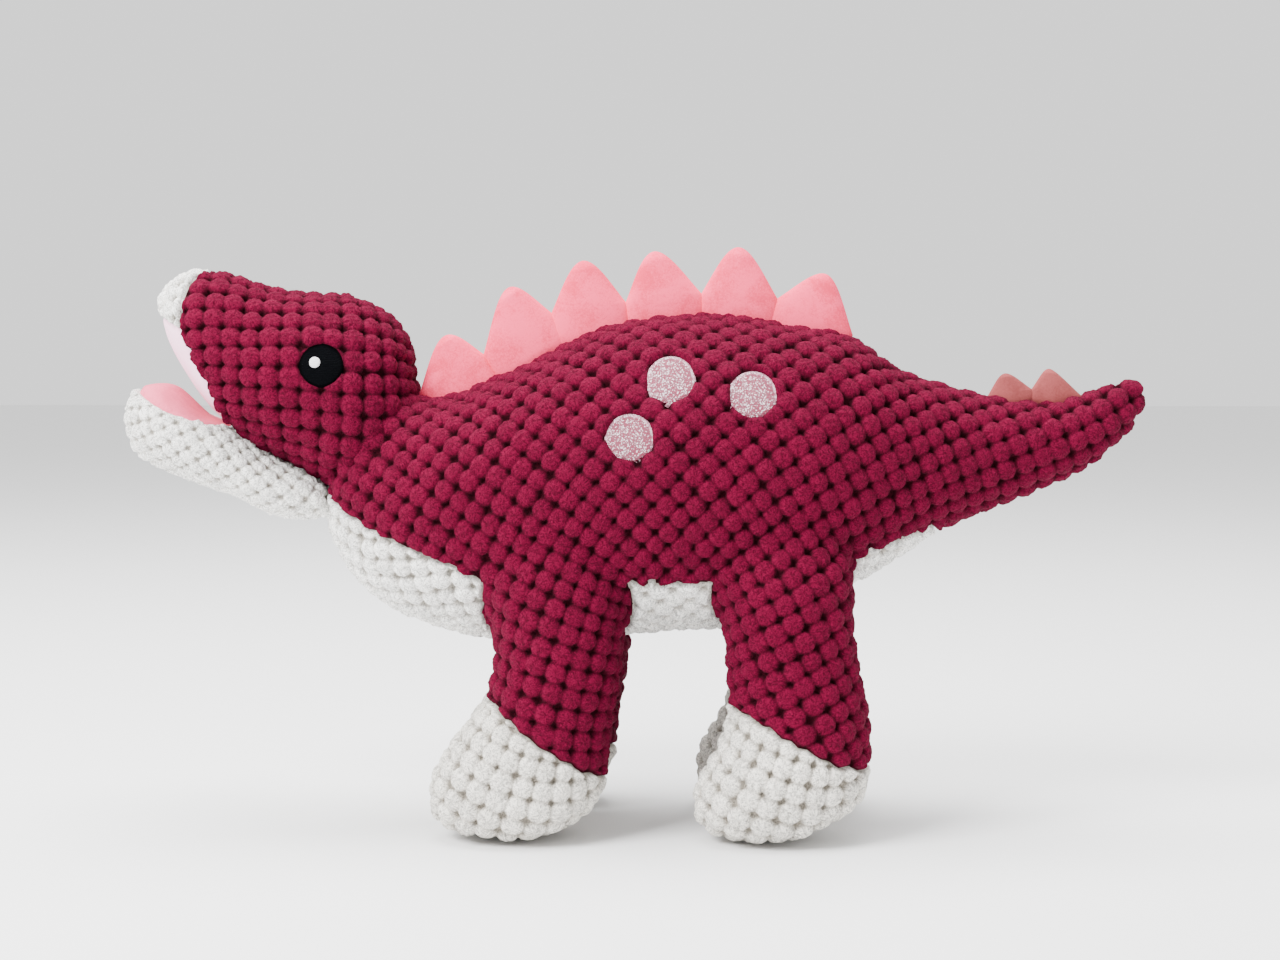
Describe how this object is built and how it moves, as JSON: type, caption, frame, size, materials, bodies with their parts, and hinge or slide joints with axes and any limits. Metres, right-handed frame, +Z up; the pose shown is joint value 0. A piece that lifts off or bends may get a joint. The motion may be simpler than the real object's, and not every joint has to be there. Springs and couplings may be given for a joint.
{
  "type": "stuffed dinosaur",
  "caption": "Plush stegosaurus in bobbled fabric standing on four padded feet, mouth open, with soft back plates and an upturned tail.",
  "frame": {"origin": "middle of the object's footprint box, on the surface the feet stand on", "axes": "+X towards the tail, the head looks along -X, +Z up, the animal's left is -Y"},
  "size_m": [0.3602, 0.107, 0.2033],
  "materials": {
    "magenta_bobble": "matte",
    "white_bobble": "matte",
    "stuffing": "matte",
    "glitter_spot": "matte",
    "eye_thread": "matte",
    "eye_glint": "matte",
    "pink_plush": "matte",
    "dusty_plush": "matte",
    "palate_cloth": "matte",
    "tongue_cloth": "matte"
  },
  "bodies": {
    "torso": {"torso_stuffing": "stuffing", "belly_panel": "white_bobble", "side_panel_left": "magenta_bobble", "side_panel_right": "magenta_bobble", "spot_left_1": "glitter_spot", "spot_left_2": "glitter_spot", "spot_left_3": "glitter_spot", "spot_right_1": "glitter_spot", "spot_right_2": "glitter_spot", "spot_right_3": "glitter_spot"},
    "neck": {"neck_stuffing": "stuffing"},
    "head": {"head_stuffing": "stuffing", "head_side_left": "magenta_bobble", "head_side_right": "magenta_bobble", "muzzle_patch": "white_bobble", "palate_lining": "palate_cloth", "eye_left": "eye_thread", "eye_right": "eye_thread", "eye_glint_left": "eye_glint", "eye_glint_right": "eye_glint"},
    "jaw": {"jaw_stuffing": "stuffing", "jaw_cover": "white_bobble", "tongue_lining": "tongue_cloth"},
    "tail_base": {"tail_base_stuffing": "stuffing", "tail_base_left": "magenta_bobble", "tail_base_right": "magenta_bobble"},
    "tail_tip": {"tail_tip_stuffing": "stuffing", "tail_tip_left": "magenta_bobble", "tail_tip_right": "magenta_bobble"},
    "front_leg_left": {"front_leg_left_stuffing": "stuffing", "front_leg_left_foot": "white_bobble", "front_leg_left_outer": "magenta_bobble", "front_leg_left_inner": "magenta_bobble"},
    "front_leg_right": {"front_leg_right_stuffing": "stuffing", "front_leg_right_foot": "white_bobble", "front_leg_right_outer": "magenta_bobble", "front_leg_right_inner": "magenta_bobble"},
    "rear_leg_left": {"rear_leg_left_stuffing": "stuffing", "rear_leg_left_foot": "white_bobble", "rear_leg_left_outer": "magenta_bobble", "rear_leg_left_inner": "magenta_bobble"},
    "rear_leg_right": {"rear_leg_right_stuffing": "stuffing", "rear_leg_right_foot": "white_bobble", "rear_leg_right_outer": "magenta_bobble", "rear_leg_right_inner": "magenta_bobble"},
    "back_plate_1": {"back_plate_1": "pink_plush"},
    "back_plate_2": {"back_plate_2": "pink_plush"},
    "back_plate_3": {"back_plate_3": "pink_plush"},
    "back_plate_4": {"back_plate_4": "pink_plush"},
    "back_plate_5": {"back_plate_5": "pink_plush"},
    "back_plate_6": {"back_plate_6": "pink_plush"},
    "tail_plate_1": {"tail_plate_1": "dusty_plush"},
    "tail_plate_2": {"tail_plate_2": "dusty_plush"}
  },
  "joints": [
    {"name": "neck_turn", "type": "hinge", "parent": "torso", "child": "neck", "pos_m": [-0.092, 0, 0.1365], "axis": [0, 0, 1], "range_deg": [-25, 25], "stiffness_Nm_per_rad": 1.2},
    {"name": "head_nod", "type": "hinge", "parent": "neck", "child": "head", "pos_m": [-0.092, 0, 0.1365], "axis": [0, 1, 0], "range_deg": [-12, 8], "stiffness_Nm_per_rad": 2},
    {"name": "jaw_bend", "type": "hinge", "parent": "head", "child": "jaw", "pos_m": [-0.13, 0, 0.121], "axis": [0, 1, 0], "range_deg": [-8, 1], "stiffness_Nm_per_rad": 0.5},
    {"name": "front_leg_left_swing", "type": "hinge", "parent": "torso", "child": "front_leg_left", "pos_m": [-0.024, -0.03, 0.073], "axis": [0, 1, 0], "range_deg": [-20, 20], "stiffness_Nm_per_rad": 2},
    {"name": "front_leg_right_swing", "type": "hinge", "parent": "torso", "child": "front_leg_right", "pos_m": [-0.024, 0.03, 0.073], "axis": [0, 1, 0], "range_deg": [-20, 20], "stiffness_Nm_per_rad": 2},
    {"name": "rear_leg_left_swing", "type": "hinge", "parent": "torso", "child": "rear_leg_left", "pos_m": [0.054, -0.03, 0.073], "axis": [0, 1, 0], "range_deg": [-20, 20], "stiffness_Nm_per_rad": 2},
    {"name": "rear_leg_right_swing", "type": "hinge", "parent": "torso", "child": "rear_leg_right", "pos_m": [0.054, 0.03, 0.073], "axis": [0, 1, 0], "range_deg": [-20, 20], "stiffness_Nm_per_rad": 2},
    {"name": "tail_turn", "type": "hinge", "parent": "torso", "child": "tail_base", "pos_m": [0.096, 0, 0.129], "axis": [0, 0, 1], "range_deg": [-24, 24], "stiffness_Nm_per_rad": 0.8},
    {"name": "tail_lift", "type": "hinge", "parent": "tail_base", "child": "tail_tip", "pos_m": [0.122, 0, 0.1305], "axis": [0, 1, 0], "range_deg": [-28, 28], "stiffness_Nm_per_rad": 0.5},
    {"name": "back_plate_1_flop", "type": "hinge", "parent": "torso", "child": "back_plate_1", "pos_m": [-0.0625, 0, 0.1562], "axis": [0.9728, 0, 0.2317], "range_deg": [-30, 30], "stiffness_Nm_per_rad": 0.02},
    {"name": "back_plate_2_flop", "type": "hinge", "parent": "torso", "child": "back_plate_2", "pos_m": [-0.0398, 0, 0.1656], "axis": [0.9092, 0, 0.4163], "range_deg": [-30, 30]},
    {"name": "back_plate_3_flop", "type": "hinge", "parent": "torso", "child": "back_plate_3", "pos_m": [-0.015, 0, 0.1756], "axis": [0.9397, 0, 0.342], "range_deg": [-30, 30]},
    {"name": "back_plate_4_flop", "type": "hinge", "parent": "torso", "child": "back_plate_4", "pos_m": [0.0112, 0, 0.1822], "axis": [0.9956, 0, 0.0941], "range_deg": [-30, 30]},
    {"name": "back_plate_5_flop", "type": "hinge", "parent": "torso", "child": "back_plate_5", "pos_m": [0.0376, 0, 0.1826], "axis": [0.9956, 0, -0.0941], "range_deg": [-30, 30]},
    {"name": "back_plate_6_flop", "type": "hinge", "parent": "torso", "child": "back_plate_6", "pos_m": [0.064, 0, 0.1782], "axis": [0.986, 0, -0.1668], "range_deg": [-30, 30]},
    {"name": "tail_plate_1_flop", "type": "hinge", "parent": "tail_tip", "child": "tail_plate_1", "pos_m": [0.1334, 0, 0.1529], "axis": [0.9976, 0, -0.0698], "range_deg": [-30, 30], "stiffness_Nm_per_rad": 0.006},
    {"name": "tail_plate_2_flop", "type": "hinge", "parent": "tail_tip", "child": "tail_plate_2", "pos_m": [0.1476, 0, 0.1532], "axis": [0.9925, 0, 0.1219], "range_deg": [-30, 30], "stiffness_Nm_per_rad": 0.006}
  ],
  "couplings": [
    {"joint": "back_plate_2_flop", "follows": "back_plate_1_flop", "ratio": 1},
    {"joint": "back_plate_3_flop", "follows": "back_plate_1_flop", "ratio": 1},
    {"joint": "back_plate_4_flop", "follows": "back_plate_1_flop", "ratio": 1},
    {"joint": "back_plate_5_flop", "follows": "back_plate_1_flop", "ratio": 1},
    {"joint": "back_plate_6_flop", "follows": "back_plate_1_flop", "ratio": 1}
  ]
}
